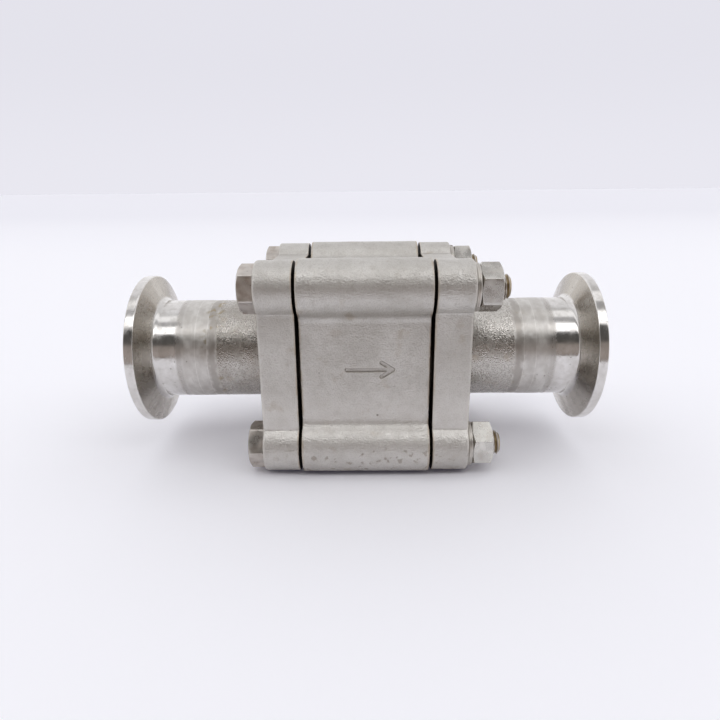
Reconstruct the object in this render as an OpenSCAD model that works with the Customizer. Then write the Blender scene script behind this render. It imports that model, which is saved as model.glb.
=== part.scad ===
// Spring-loaded in-line check valve, DN25, three-piece body with clamp ends.
// Millimetres. The origin is the middle of the body on the flow axis.
// +X is the flow direction, +Z is up, and the valve lies on its two lower bolt lobes.

/* [Centre body] */
// Half width over the centre body's bolt lobes
body_reach = 34; // [33.8:0.1:35]
// Distance of each bolt from the flow axis, along Y and along Z
bolt_offset = 25.15; // [25:0.05:26]
// Half length of the centre body
body_half_l = 19.7; // [19.5:0.1:21]
// Depth of the centre body's hollow sides below its lobes
body_recess = 5.2; // [3.4:0.1:5.4]
// Radius of the blend between a hollow side and a lobe
body_blend = 3.5; // [3:0.5:6]
// Chamfer on the edges of the castings
edge_chamfer = 0.8; // [0.4:0.1:1.2]
// Radius of the bore that holds the seat and the guide
pocket_r = 18; // [17.8:0.1:18.4]
// Radius of the chamber around the poppet
chamber_r = 17; // [16.4:0.1:17.2]
// Length of the flow arrow
arrow_l = 15; // [10:1:20]

/* [End caps] */
// Gap between the centre body and the rim of a cap
cap_gap = 0.9; // [0.8:0.1:1.5]
// Half width over a cap's bolt lobes
cap_reach = 33.6; // [33:0.1:33.8]
// Thickness of a cap's plate
cap_t = 11.3; // [10:0.05:12]
// Depth of the caps' flat sides below their lobes
cap_recess = 3.5; // [2.5:0.1:4]
// Radius of the flow bore in a cap
cap_bore_r = 13; // [12:0.1:13.4]
// Outside radius of the weld stub
stub_r = 16.7; // [16.6:0.05:16.9]
// End of the rough cast part of the stub, from the centre
cast_end = 48; // [44:0.5:50]

/* [Clamp ferrules] */
// Half of the overall length
half_l = 74.75; // [74:0.25:78]
// Length of a ferrule
ferrule_l = 21.5; // [21.5:0.5:22.5]
// Radius of the clamp rim
rim_r = 25.25; // [25.2:0.05:25.3]
// Thickness of the clamp rim
rim_t = 2.95; // [2.8:0.05:3.1]
// Slope of the clamp bevel, in degrees
bevel_angle = 20; // [18:1:22]
// Radius of a ferrule's bore
ferrule_bore_r = 13.9; // [13.7:0.1:14.2]

/* [Fasteners] */
// Thread diameter of the body bolts
bolt_d = 8; // [8:8]
// Width across the flats of heads and nuts
flats = 13; // [12.7:0.1:13]
// Height of a bolt head
head_h = 4.8; // [4.6:0.1:5.4]
// Height of a nut
nut_h = 6.4; // [6.2:0.1:6.8]
// Thickness of a split lock washer
lock_t = 1.5; // [1.4:0.1:2]
// Length of a bolt below its head
bolt_l = 74.4; // [73.8:0.1:76]

/* [Poppet and spring] */
// Travel of the poppet from closed to fully open
lift = 6.5; // [5:0.5:6.5]
// Radius of the seat opening
seat_r = 11.5; // [10.5:0.1:11.6]
// Radius of the poppet disc
disc_r = 14; // [13.6:0.1:14.2]
// Radius of the poppet's guide stem
stem_r = 4; // [3.8:0.1:4]
// Mean radius of the spring
coil_r = 7.1; // [7:0.05:7.2]
// Diameter of the spring wire
wire_d = 1.2; // [1:0.1:1.2]

/* [Hidden] */
$fn = 96;
// Radial clearance of pieces that slide together when the valve is built
slip = 0.05;
// Overlap that makes a cut pass clean through a face
over = 1;

// castings
body_lobe_r = body_reach - bolt_offset;
cap_lobe_r = cap_reach - bolt_offset;
body_side = body_reach - body_recess;
cap_side = cap_reach - cap_recess;
bolt_hole_r = bolt_d / 2 + 0.4;
cap_in = body_half_l + cap_gap;
cap_out = cap_in + cap_t;
spigot_r = 24.5;
nose_r = pocket_r - slip;
nose_depth = 2.4;
cap_blend = 0.8;
stub_fillet = 1.6;
cast_step = 0.12;
lobe_places = [[-1, 1], [-1, -1], [1, 1], [1, -1]];

// joints between stub and ferrule
weld_x = half_l - ferrule_l;
weld_root = 0.5;
weld_half = 2;
weld_crown = 0.12;
rim_x = half_l - rim_t;
bevel_x = rim_x - (rim_r - stub_r) * tan(bevel_angle);
ferrule_fillet = 1.6;
gasket_groove_r = 21.75;
gasket_groove_wire = 1.6;
gasket_groove_lift = 0.5;

// seals between the pieces of the body
seal_pocket_r = 22;
seal_out_r = seal_pocket_r - slip;
seal_in_r = 18.6;
seal_x = body_half_l - nose_depth;

// seat
seat_back = -10.5;
seat_lip_x = seat_back + 1.5;
seat_lip_r = seat_r + 1.4;
o_ring_x = -13.6;
o_ring_groove_w = 2.2;
o_ring_wire_r = 0.85;
o_ring_floor = pocket_r - 1.9;

// poppet
seat_gap = 0.02;
soft_t = 2;
disc_t = 2.5;
thread_r = 3;
soft_x = seat_lip_x + seat_gap;
disc_x = soft_x + soft_t;
stem_x = disc_x + disc_t;
disc_rim_w = 0.9;
clamp_washer_r = 10.2;
clamp_washer_t = 1.5;
poppet_flats = 10;
poppet_nut_h = 4.5;
stem_tip = 20.5;
stem_chamfer = 0.8;
stop_gap = 0.1;
collar_r = 5.4;
collar_x = stem_x + 7.18;

// guide
guide_x = 10.5;
guide_t = 5;
hub_x = collar_x + lift + stop_gap;
hub_end = 17;
hub_r = 6.4;
spring_seat_r = 8.5;
spring_seat_t = 1.6;
cage_ring_w = 2.6;
leg_w = 3;
leg_count = 3;
bush_r = 5;
bush_lip_r = 5.8;
bush_lip_t = 0.8;
snap_x = guide_x + guide_t + slip;
snap_t = 1.1;
snap_groove_w = 1.25;
snap_groove_r = 18.9;
snap_out_r = 18.7;
snap_in_r = 16.9;
snap_eye_angle = 26;
snap_end_angle = 19;
snap_eye_r = 1.5;

// spring
spring_turns = 5;
rings_per_turn = 20;
wire_sides = 8;
coil_touch = 0.05;
spring_from = stem_x + coil_touch;
spring_to = hub_x - coil_touch;

// fasteners
washer_x = cap_out;
nut_x = washer_x + lock_t;
lock_out_r = 7.2;
lock_in_r = bolt_d / 2 + 0.15;
lock_slit = 1.1;
// Turn of each bolt head and nut about its bolt, in the order of lobe_places
head_turn = [-10, 29, 4, 22];
nut_turn = [2.5, 3, 17, 8];
lock_turn = [20, 335, 95, 310];

// flow arrow
arrow_stroke = 1.1;
arrow_barb_l = 4.6;
arrow_barb_angle = 33;
arrow_depth = 0.45;
arrow_at = [1.5, 0.8];

// A solid cylinder on the flow axis from x0 to x1
module rod(x0, x1, r) {
    translate([x0, 0, 0]) rotate([0, 90, 0]) cylinder(h = x1 - x0, r = r);
}

// A ring on the flow axis
module ring(x0, x1, r_out, r_in) {
    difference() {
        rod(x0, x1, r_out);
        rod(x0 - over, x1 + over, r_in);
    }
}

// A cone on the flow axis
module cone(x0, x1, r0, r1) {
    translate([x0, 0, 0]) rotate([0, 90, 0]) cylinder(h = x1 - x0, r1 = r0, r2 = r1);
}

// An outline of [radius, x] points turned about the flow axis
module turned(points) {
    rotate([0, 90, 0]) rotate_extrude() polygon(points);
}

// A ring of round wire about the flow axis
module wire_ring(x, r, wire_r) {
    translate([x, 0, 0]) rotate([0, 90, 0]) rotate_extrude() translate([r, 0]) circle(wire_r, $fn = 40);
}

// The children at each of the four bolts, with $turn taken from a list of angles
module at_bolts(turns) {
    for (i = [0 : 3])
        translate([0, lobe_places[i][0] * bolt_offset, lobe_places[i][1] * bolt_offset])
            rotate([turns[i], 0, 0]) children();
}

// Points on an arc, centre c, from angle a0 to a1
function arc(c, r, a0, a1, steps) =
    [for (i = [0 : steps]) let (a = a0 + (a1 - a0) * i / steps) c + r * [cos(a), sin(a)]];

// A square slab across the flow axis, with chamfers of c round both faces
module chamfered_slab(x0, x1, half, c) {
    side = [
        [x0, -half + c], [x0 + c, -half], [x1 - c, -half], [x1, -half + c],
        [x1, half - c], [x1 - c, half], [x0 + c, half], [x0, half - c]
    ];
    intersection() {
        translate([0, 0, -half]) linear_extrude(2 * half) polygon(side);
        rotate([90, 0, 0]) translate([0, 0, -half]) linear_extrude(2 * half) polygon(side);
    }
}

// The round lobe about one bolt, with chamfers of c on its ends
module lobe(x0, x1, r, c) {
    turned([[0, x0], [r - c, x0], [r, x0 + c], [r, x1 - c], [r - c, x1], [0, x1]]);
}

// The concave blend of radius r between a side at height side and the lobe on one corner
module blend_patch(side, lobe_r, r) {
    rise = side + r - bolt_offset;
    run = sqrt(pow(lobe_r + r, 2) - rise * rise);
    c = [bolt_offset - run, side + r];
    a = atan2(bolt_offset - c[1], run);
    polygon(concat(arc(c, r, -90, a, 8), [[bolt_offset, bolt_offset], [c[0], bolt_offset]]));
}

// All eight blends of a lobed block, between x0 and x1
module blends(x0, x1, side, lobe_r, r) {
    translate([x0, 0, 0]) rotate([90, 0, 90]) linear_extrude(x1 - x0)
        for (quarter = [0 : 90 : 270]) rotate(quarter) {
            blend_patch(side, lobe_r, r);
            mirror([1, 0]) blend_patch(side, lobe_r, r);
        }
}

// A lobed block across the flow axis, without its holes
module lobed_block(x0, x1, side, lobe_r, blend) {
    c = edge_chamfer;
    chamfered_slab(x0, x1, side, c);
    for (p = lobe_places)
        translate([0, p[0] * bolt_offset, p[1] * bolt_offset]) lobe(x0, x1, lobe_r, c);
    blends(x0 + c, x1 - c, side, lobe_r, blend);
}

module bolt_holes(x0, x1) {
    for (p = lobe_places)
        translate([0, p[0] * bolt_offset, p[1] * bolt_offset]) rod(x0, x1, bolt_hole_r);
}

// A plain arrow that points along the flow, drawn as three grooves that meet at its tip
module flow_arrow() {
    translate([arrow_at[0] + arrow_l / 2, -body_side + arrow_depth, arrow_at[1]])
        rotate([90, 0, 0]) linear_extrude(over) {
            translate([-arrow_l, -arrow_stroke / 2]) square([arrow_l - arrow_stroke, arrow_stroke]);
            for (side = [-1, 1]) rotate(side * arrow_barb_angle)
                translate([-arrow_barb_l, -arrow_stroke / 2]) square([arrow_barb_l, arrow_stroke]);
        }
}

module centre_body() {
    color("silver") difference() {
        lobed_block(-body_half_l, body_half_l, body_side, body_lobe_r, body_blend);
        bolt_holes(-body_half_l - over, body_half_l + over);
        rod(-body_half_l - over, body_half_l + over, chamber_r);
        rod(-body_half_l - over, seat_back, pocket_r);
        rod(guide_x, body_half_l + over, pocket_r);
        rod(-body_half_l - over, -seal_x, seal_pocket_r);
        rod(seal_x, body_half_l + over, seal_pocket_r);
        rod(snap_x - slip, snap_x - slip + snap_groove_w, snap_groove_r);
        flow_arrow();
    }
}

// A cap on the +X side
module cap() {
    difference() {
        union() {
            lobed_block(cap_in, cap_out, cap_side, cap_lobe_r, cap_blend);
            rod(body_half_l, cap_in + over, spigot_r);
            rod(seal_x, cap_in + over, nose_r);
            turned(concat(
                [[0, cap_out - over], [stub_r + stub_fillet, cap_out - over]],
                arc([stub_r + stub_fillet, cap_out + stub_fillet], stub_fillet, 270, 180, 6),
                [[stub_r, cast_end], [stub_r - cast_step, cast_end + 2 * cast_step]],
                [[stub_r - cast_step, weld_x - weld_half], [ferrule_bore_r, weld_x - weld_root]],
                [[0, weld_x - weld_root]]
            ));
        }
        bolt_holes(cap_in - over, cap_out + over);
        rod(seal_x - over, weld_x, cap_bore_r);
        cone(weld_x - 3, weld_x, cap_bore_r, ferrule_bore_r + (ferrule_bore_r - cap_bore_r) / 5);
    }
}

module inlet_cap() {
    color("silver") mirror([1, 0, 0]) cap();
}

module outlet_cap() {
    color("silver") cap();
}

// A weld ferrule on the +X side: tube, clamp bevel, rim and gasket groove
module ferrule() {
    a = 90 + bevel_angle;
    foot = ferrule_fillet * tan((90 - bevel_angle) / 2);
    fillet_c = [stub_r + ferrule_fillet, bevel_x - foot];
    difference() {
        turned(concat(
            [[ferrule_bore_r, weld_x + weld_root], [stub_r, weld_x + weld_half]],
            arc(fillet_c, ferrule_fillet, 180, a, 6),
            [[rim_r, rim_x], [rim_r, half_l], [ferrule_bore_r, half_l]]
        ));
        wire_ring(half_l + gasket_groove_lift, gasket_groove_r, gasket_groove_wire);
    }
}

module inlet_ferrule() {
    color("gainsboro") mirror([1, 0, 0]) ferrule();
}

module outlet_ferrule() {
    color("gainsboro") ferrule();
}

// The butt weld between a cap's stub and a ferrule, on the +X side
module weld_bead() {
    low = stub_r - cast_step;
    turned([
        [ferrule_bore_r, weld_x - weld_root], [low, weld_x - weld_half],
        [stub_r + weld_crown, weld_x - weld_half / 2], [stub_r + weld_crown, weld_x + weld_half / 2],
        [stub_r, weld_x + weld_half], [ferrule_bore_r, weld_x + weld_root]
    ]);
}

module inlet_weld_bead() {
    color("darkgoldenrod") mirror([1, 0, 0]) weld_bead();
}

module outlet_weld_bead() {
    color("darkgoldenrod") weld_bead();
}

module inlet_body_seal() {
    color("white") ring(-body_half_l, -seal_x, seal_out_r, seal_in_r);
}

module outlet_body_seal() {
    color("white") ring(seal_x, body_half_l, seal_out_r, seal_in_r);
}

// The metal seat, clamped between the inlet cap's nose and the body's shoulder
module seat_holder() {
    w = o_ring_groove_w / 2;
    color("lightsteelblue") turned([
        [cap_bore_r, -seal_x], [pocket_r - slip, -seal_x],
        [pocket_r - slip, o_ring_x - w], [o_ring_floor, o_ring_x - w],
        [o_ring_floor, o_ring_x + w], [pocket_r - slip, o_ring_x + w],
        [pocket_r - slip, seat_back], [seat_lip_r + 1.5, seat_back],
        [seat_lip_r, seat_lip_x], [seat_r, seat_lip_x], [seat_r, seat_back - 3]
    ]);
}

module seat_o_ring() {
    color("dimgray") wire_ring(o_ring_x, o_ring_floor + o_ring_wire_r + slip, o_ring_wire_r);
}

// The poppet's disc, with a shallow pan that holds the soft seal
module poppet_disc() {
    pan_r = disc_r - disc_rim_w;
    color("lightsteelblue") difference() {
        union() {
            rod(disc_x, stem_x, disc_r);
            ring(disc_x - soft_t / 2, disc_x + disc_t / 2, disc_r, pan_r);
        }
        rod(disc_x - over, stem_x + over, thread_r + slip);
    }
}

module disc_seal() {
    color("white") ring(soft_x, disc_x, disc_r - disc_rim_w - slip, thread_r + slip);
}

module seal_clamp_washer() {
    color("silver") ring(soft_x - clamp_washer_t, soft_x, clamp_washer_r, thread_r + slip);
}

// The stem: a threaded end for the disc, a collar that stops the lift, and the guided end
module poppet_stem() {
    start = soft_x - clamp_washer_t - poppet_nut_h - 1.5;
    color("lightsteelblue") turned([
        [0, start], [thread_r - 0.5, start], [thread_r, start + 0.5], [thread_r, stem_x],
        [collar_r, stem_x], [collar_r, collar_x], [stem_r, collar_x],
        [stem_r, stem_tip - stem_chamfer], [stem_r - stem_chamfer, stem_tip], [0, stem_tip]
    ]);
}

// A hexagon along the flow axis with chamfered corners on the ends that are named
module hexagon(x0, x1, across, chamfer_low, chamfer_high) {
    corner_r = across / 2 / cos(30);
    drop = (corner_r - across / 2 + 0.25) * tan(30);
    low = chamfer_low ? drop : 0;
    high = chamfer_high ? drop : 0;
    r = across / 2 - 0.25;
    intersection() {
        translate([x0, 0, 0]) rotate([0, 90, 0]) cylinder(h = x1 - x0, r = corner_r, $fn = 6);
        turned([
            [0, x0], [chamfer_low ? r : corner_r + over, x0], [corner_r + (low > 0 ? 0 : over), x0 + low],
            [corner_r + (high > 0 ? 0 : over), x1 - high], [chamfer_high ? r : corner_r + over, x1], [0, x1]
        ]);
    }
}

module poppet_nut() {
    face = soft_x - clamp_washer_t;
    color("silver") difference() {
        hexagon(face - poppet_nut_h, face, poppet_flats, true, false);
        rod(face - poppet_nut_h - over, face + over, thread_r + slip);
    }
}

// Height along the spring's axis after t turns: a closed turn at each end, open turns between
function coil_height(t) =
    let (first = wire_d + coil_touch, span = spring_to - spring_from - wire_d,
         pitch = (span - 2 * first) / (spring_turns - 2))
    t < 1 ? t * first
    : t > spring_turns - 1 ? span - (spring_turns - t) * first
    : first + (t - 1) * pitch;

function coil_point(t, k) =
    let (a = 360 * t, b = 360 * k / wire_sides, r = coil_r + wire_d / 2 * cos(b))
    [spring_from + wire_d / 2 + coil_height(t) + wire_d / 2 * sin(b), r * cos(a), r * sin(a)];

module closing_spring() {
    rings = spring_turns * rings_per_turn;
    points = [for (i = [0 : rings]) for (k = [0 : wire_sides - 1]) coil_point(i / rings_per_turn, k)];
    function id(i, k) = i * wire_sides + k % wire_sides;
    walls = [for (i = [0 : rings - 1]) for (k = [0 : wire_sides - 1])
        [id(i, k), id(i, k + 1), id(i + 1, k + 1), id(i + 1, k)]];
    ends = [[for (k = [wire_sides - 1 : -1 : 0]) id(0, k)], [for (k = [0 : wire_sides - 1]) id(rings, k)]];
    color("slategray") polyhedron(points, concat(walls, ends), convexity = 6);
}

// The spider that carries the guide bush: an outer ring, three legs and a hub with a spring seat
module guide_cage() {
    ring_out = pocket_r - slip;
    color("lightsteelblue") difference() {
        union() {
            ring(guide_x, guide_x + guide_t, ring_out, ring_out - cage_ring_w);
            rod(hub_x, hub_end, hub_r);
            rod(hub_x, hub_x + spring_seat_t, spring_seat_r);
            for (i = [0 : leg_count - 1]) rotate([360 * i / leg_count, 0, 0])
                translate([guide_x, -leg_w / 2, hub_r - 1])
                    cube([guide_t, leg_w, ring_out - cage_ring_w - hub_r + 2]);
        }
        rod(hub_x - over, hub_end + over, bush_r);
    }
}

// The plain bearing that guides the stem, with a lip on the downstream face of the hub
module guide_bush() {
    color("tan") difference() {
        union() {
            rod(hub_x + 0.4, hub_end + bush_lip_t, bush_r - slip);
            rod(hub_end, hub_end + bush_lip_t, bush_lip_r);
        }
        rod(hub_x - over, hub_end + over + bush_lip_t, stem_r + slip);
    }
}

// The internal retaining ring that keeps the cage in its pocket, with an eye at each end
module snap_ring() {
    far = 2 * snap_out_r;
    color("dimgray") translate([snap_x, 0, 0]) rotate([90, 0, 90]) linear_extrude(snap_t) difference() {
        union() {
            difference() {
                circle(snap_out_r);
                circle(snap_in_r);
            }
            for (side = [-1, 1]) rotate(side * snap_eye_angle) translate([0, snap_in_r]) circle(snap_eye_r);
        }
        for (side = [-1, 1]) rotate(side * snap_eye_angle) translate([0, snap_in_r]) circle(snap_eye_r / 2);
        polygon([[0, 0], far * [-sin(snap_end_angle), cos(snap_end_angle)],
            far * [sin(snap_end_angle), cos(snap_end_angle)]]);
    }
}

// One body bolt on the flow axis, its head against the inlet cap
module bolt() {
    end = bolt_l - cap_out;
    r = bolt_d / 2 - 0.03;
    hexagon(-cap_out - head_h, -cap_out, flats, true, false);
    turned([[0, -cap_out - over], [r, -cap_out - over], [r, end - 1], [r - 0.9, end], [0, end]]);
}

module body_bolts() {
    color("lightgray") at_bolts(head_turn) bolt();
}

module lock_washer() {
    difference() {
        ring(washer_x, washer_x + lock_t, lock_out_r, lock_in_r);
        translate([washer_x + lock_t / 2, 0, lock_out_r]) rotate([0, 0, 30])
            cube([2 * lock_out_r, lock_slit, 2 * lock_out_r], center = true);
    }
}

module lock_washers() {
    color("gray") at_bolts(lock_turn) lock_washer();
}

module body_nuts() {
    color("lightgray") at_bolts(nut_turn) difference() {
        hexagon(nut_x, nut_x + nut_h, flats, true, true);
        rod(nut_x - over, nut_x + nut_h + over, bolt_d / 2);
    }
}

centre_body();
inlet_cap();
outlet_cap();
inlet_ferrule();
outlet_ferrule();
inlet_weld_bead();
outlet_weld_bead();
inlet_body_seal();
outlet_body_seal();
seat_holder();
seat_o_ring();
poppet_disc();
disc_seal();
seal_clamp_washer();
poppet_stem();
poppet_nut();
closing_spring();
guide_cage();
guide_bush();
snap_ring();
body_bolts();
lock_washers();
body_nuts();
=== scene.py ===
import math

import bmesh
import bpy
import numpy as np
from mathutils import Matrix, Vector, noise


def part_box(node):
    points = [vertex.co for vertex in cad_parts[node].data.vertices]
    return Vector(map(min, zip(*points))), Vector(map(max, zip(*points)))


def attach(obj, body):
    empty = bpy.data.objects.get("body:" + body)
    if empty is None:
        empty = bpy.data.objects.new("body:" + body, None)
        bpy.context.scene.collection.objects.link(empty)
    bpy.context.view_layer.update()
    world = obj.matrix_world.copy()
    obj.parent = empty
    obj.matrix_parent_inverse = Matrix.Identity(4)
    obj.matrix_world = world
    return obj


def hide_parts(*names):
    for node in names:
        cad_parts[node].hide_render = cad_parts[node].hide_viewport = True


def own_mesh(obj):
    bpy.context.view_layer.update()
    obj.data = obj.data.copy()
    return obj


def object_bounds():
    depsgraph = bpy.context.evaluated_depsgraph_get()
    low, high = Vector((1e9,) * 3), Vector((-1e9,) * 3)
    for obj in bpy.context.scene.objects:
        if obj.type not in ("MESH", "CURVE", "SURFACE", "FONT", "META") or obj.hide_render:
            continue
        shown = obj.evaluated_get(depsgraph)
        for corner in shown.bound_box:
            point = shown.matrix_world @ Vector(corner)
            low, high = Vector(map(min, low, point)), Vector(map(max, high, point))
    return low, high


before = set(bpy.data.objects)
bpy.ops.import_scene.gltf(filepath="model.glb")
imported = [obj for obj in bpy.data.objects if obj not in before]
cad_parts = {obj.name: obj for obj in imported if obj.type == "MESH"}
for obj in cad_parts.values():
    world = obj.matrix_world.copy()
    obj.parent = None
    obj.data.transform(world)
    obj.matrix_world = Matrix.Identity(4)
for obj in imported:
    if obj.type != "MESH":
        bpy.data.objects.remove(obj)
cad_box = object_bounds()

MM = 0.001

# ------------------------------------------------------------------ sizes, in millimetres, from the CAD parts


def box_mm(node):
    """The low and high corner of a CAD node's box."""
    low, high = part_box(node)
    return low / MM, high / MM


def points_mm(node):
    """The CAD node's vertices, one row each."""
    return np.array([v.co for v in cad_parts[node].data.vertices], float).reshape(-1, 3) / MM


def rings_mm(node, low=-1e9, high=1e9):
    """Distance along the flow axis and radius of the CAD node's vertices between low and high."""
    p = points_mm(node)
    p = p[(p[:, 0] >= low) & (p[:, 0] <= high)]
    return p[:, 0], np.hypot(p[:, 1], p[:, 2])


def side_of(node, reach):
    """Distance of a lobed block's sides from the flow axis, found within reach of the side's middle."""
    p = points_mm(node)
    return float(p[np.abs(p[:, 2]) < reach][:, 1].max())


# The share of the bolts' offset up to which a block's sides are flat.
BODY_FLAT = 0.61
CAP_FLAT = 0.72

bolt_points = points_mm("body_bolts")
BOLT_END = float(bolt_points[:, 0].max())
HEAD_END = float(bolt_points[:, 0].min())
tips = bolt_points[bolt_points[:, 0] > BOLT_END - 0.01]
BOLT_OFFSET = float(np.abs(tips[:, 1]).mean())
BODY_L = box_mm("centre_body")[1].x
BODY_REACH = box_mm("centre_body")[1].y
BODY_SIDE = side_of("centre_body", BODY_FLAT * BOLT_OFFSET)
cap_points = points_mm("outlet_cap")
cap_lobes = cap_points[np.abs(cap_points[:, 1]) > BOLT_OFFSET + 5]
CAP_IN = float(cap_lobes[:, 0].min())
CAP_OUT = float(cap_lobes[:, 0].max())
CAP_REACH = box_mm("outlet_cap")[1].y
CAP_SIDE = side_of("outlet_cap", CAP_FLAT * BOLT_OFFSET)
CAP_NOSE = box_mm("outlet_cap")[0].x
CAP_BORE = float(rings_mm("outlet_cap")[1].min())
WELD_LOW, WELD_HIGH = box_mm("outlet_weld_bead")[0].x, box_mm("outlet_weld_bead")[1].x
WELD_X = (WELD_LOW + WELD_HIGH) / 2
END_X = box_mm("outlet_ferrule")[1].x
RIM_R = box_mm("outlet_ferrule")[1].y
FERRULE_BORE = float(rings_mm("outlet_ferrule")[1].min())
TUBE_R = float(rings_mm("outlet_ferrule", WELD_HIGH - 0.1, WELD_HIGH + 0.1)[1].max())
ferrule_x, ferrule_r = rings_mm("outlet_ferrule")
RIM_X = float(ferrule_x[ferrule_r > RIM_R - 0.05].min())
NUT_LOW, NUT_HIGH = box_mm("body_nuts")[0].x, box_mm("body_nuts")[1].x

# The blends between lobes and sides, where the cast skin ends, the radius the stub is ground to past it, the
# seam where the polish starts, and the fasteners' sizes.
BODY_BLEND = 3.5
CAP_BLEND = 0.8
CAST_END = WELD_LOW - 3.25
GROUND_R = TUBE_R - 0.12
SEAM_X = WELD_HIGH + 5.3
BOLT_HOLE = 4.4
BOLT_R = 3.88
FLATS = 13

# The four bolts in turn: their sides of the axis, and their heads', nuts' and washers' turns in degrees.
LOBES = [(-1, 1), (-1, -1), (1, 1), (1, -1)]
HEAD_TURN = (-10, 29, 4, 22)
NUT_TURN = (2.5, 3, 17, 8)
WASHER_TURN = (20, 335, 95, 310)

# ------------------------------------------------------------------ mesh helpers


def arc(centre, radius, start, end, steps):
    """Points on an arc, both ends included. Angles in degrees."""
    angles = [math.radians(start + (end - start) * k / steps) for k in range(steps + 1)]
    return [(centre[0] + radius * math.cos(a), centre[1] + radius * math.sin(a)) for a in angles]


def between(low, high, step):
    """Evenly spaced values from low to high, both included, about step apart."""
    count = max(1, round(abs(high - low) / step))
    return [low + (high - low) * k / count for k in range(count + 1)]


def rounded(corners, steps=4, support=0.1):
    """An outline with rounded corners and a support point beside each. A corner is (x, r, radius)."""
    outline = []
    for i, (x, r, radius) in enumerate(corners):
        here = Vector((x, r))
        back = Vector(corners[i - 1][:2]) - here
        ahead = Vector(corners[(i + 1) % len(corners)][:2]) - here
        room = 0.45 * min(back.length, ahead.length)
        a, b = back.normalized(), ahead.normalized()
        half = a.angle(b) / 2
        if radius <= 0 or half > math.radians(89):
            outline.append((x, r))
            continue
        reach = min(radius / math.tan(half), room)
        radius = reach * math.tan(half)
        centre = here + (a + b).normalized() * radius / math.sin(half)
        start, end = here + a * reach - centre, here + b * reach - centre
        turn = math.atan2(start.x * end.y - start.y * end.x, start.dot(end))
        if reach + support < room:
            outline.append(tuple(centre + start + a * support))
        for k in range(steps + 1):
            c, s = math.cos(turn * k / steps), math.sin(turn * k / steps)
            outline.append((centre.x + start.x * c - start.y * s, centre.y + start.x * s + start.y * c))
        if reach + support < room:
            outline.append(tuple(centre + end + b * support))
    return outline


def skin(name, rings, loop=False):
    """A closed mesh over rings of points, in millimetres. A ring of one point is a pole."""
    mesh = bmesh.new()
    made = [[mesh.verts.new(Vector(p) * MM) for p in ring] for ring in rings]
    pairs = list(zip(made, made[1:])) + ([(made[-1], made[0])] if loop else [])
    for low, high in pairs:
        count = max(len(low), len(high))
        for k in range(count):
            below = [low[k % len(low)], low[(k + 1) % len(low)]]
            above = [high[(k + 1) % len(high)], high[k % len(high)]]
            mesh.faces.new(list(dict.fromkeys(below + above)))
    for ring in () if loop else (made[0], made[-1]):
        if len(ring) > 1:
            mesh.faces.new(ring)
    bmesh.ops.recalc_face_normals(mesh, faces=mesh.faces)
    data = bpy.data.meshes.new(name)
    mesh.to_mesh(data)
    mesh.free()
    piece = bpy.data.objects.new(name, data)
    bpy.context.scene.collection.objects.link(piece)
    return piece


def lathe(name, outline, segments=160, loop=True, shift=None):
    """A solid turned about the flow axis. shift(x, angle, r) moves the surface outwards."""
    rings = []
    for x, r in outline:
        if r < 1e-6:
            rings.append([(x, 0, 0)])
            continue
        ring = []
        for k in range(segments):
            a = math.tau * k / segments
            out = r + (shift(x, a, r) if shift else 0)
            ring.append((x, out * math.cos(a), out * math.sin(a)))
        rings.append(ring)
    return skin(name, rings, loop)


def bake_modifiers(piece):
    """Applies the piece's modifiers."""
    bpy.context.view_layer.update()
    evaluated = piece.evaluated_get(bpy.context.evaluated_depsgraph_get())
    data = bpy.data.meshes.new_from_object(evaluated)
    piece.modifiers.clear()
    old, piece.data = piece.data, data
    bpy.data.meshes.remove(old)
    data.name = piece.name


def combine(piece, tool, operation="DIFFERENCE"):
    """Cuts tool out of piece, or joins it on, and removes tool."""
    step = piece.modifiers.new("combine", "BOOLEAN")
    step.object, step.operation, step.solver = tool, operation, "EXACT"
    bake_modifiers(piece)
    bpy.data.objects.remove(tool)


def join(name, parts):
    """One object of several separate solids."""
    mesh = bmesh.new()
    for part in parts:
        mesh.from_mesh(part.data)
        bpy.data.objects.remove(part)
    data = bpy.data.meshes.new(name)
    mesh.to_mesh(data)
    mesh.free()
    piece = bpy.data.objects.new(name, data)
    bpy.context.scene.collection.objects.link(piece)
    return piece


def place(piece, matrix):
    """Moves the piece's own points, with lengths in metres. A mirror image is turned right side out."""
    piece.data.transform(matrix)
    if matrix.determinant() < 0:
        piece.data.flip_normals()


def mirrored(piece):
    """A piece made on the outlet side, moved to the inlet side."""
    place(piece, Matrix.Scale(-1, 4, (1, 0, 0)))
    return piece


def on_side(piece, end):
    """A piece made on the outlet side, at the end it is for."""
    return mirrored(piece) if end == "inlet" else piece


def at_bolt(piece, i, turn):
    """Moves a piece made on the flow axis to bolt i, turned about the bolt by turn degrees."""
    y, z = (sign * BOLT_OFFSET * MM for sign in LOBES[i])
    place(piece, Matrix.Translation((0, y, z)) @ Matrix.Rotation(math.radians(turn), 4, "X"))
    return piece


def mark_edges(piece, sharpest=0.6, flat=0.05, narrowest=0.05):
    """Stores how tightly each vertex's convex edges bend, from 0 to 1, for wear on the corners."""
    mesh = bmesh.new()
    mesh.from_mesh(piece.data)
    wear = np.zeros(len(mesh.verts), np.float32)
    for edge in mesh.edges:
        if len(edge.link_faces) != 2 or not edge.is_convex:
            continue
        angle = edge.calc_face_angle(0)
        if angle < flat:
            continue
        areas = [face.calc_area() for face in edge.link_faces]
        width = min(areas) / max(edge.calc_length(), 1e-7) / MM
        bend = min(1.0, sharpest * angle / max(width, narrowest))
        for vertex in edge.verts:
            wear[vertex.index] = max(wear[vertex.index], bend)
    mesh.free()
    layer = piece.data.attributes.new("wear", "FLOAT", "POINT")
    layer.data.foreach_set("value", wear)


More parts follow.
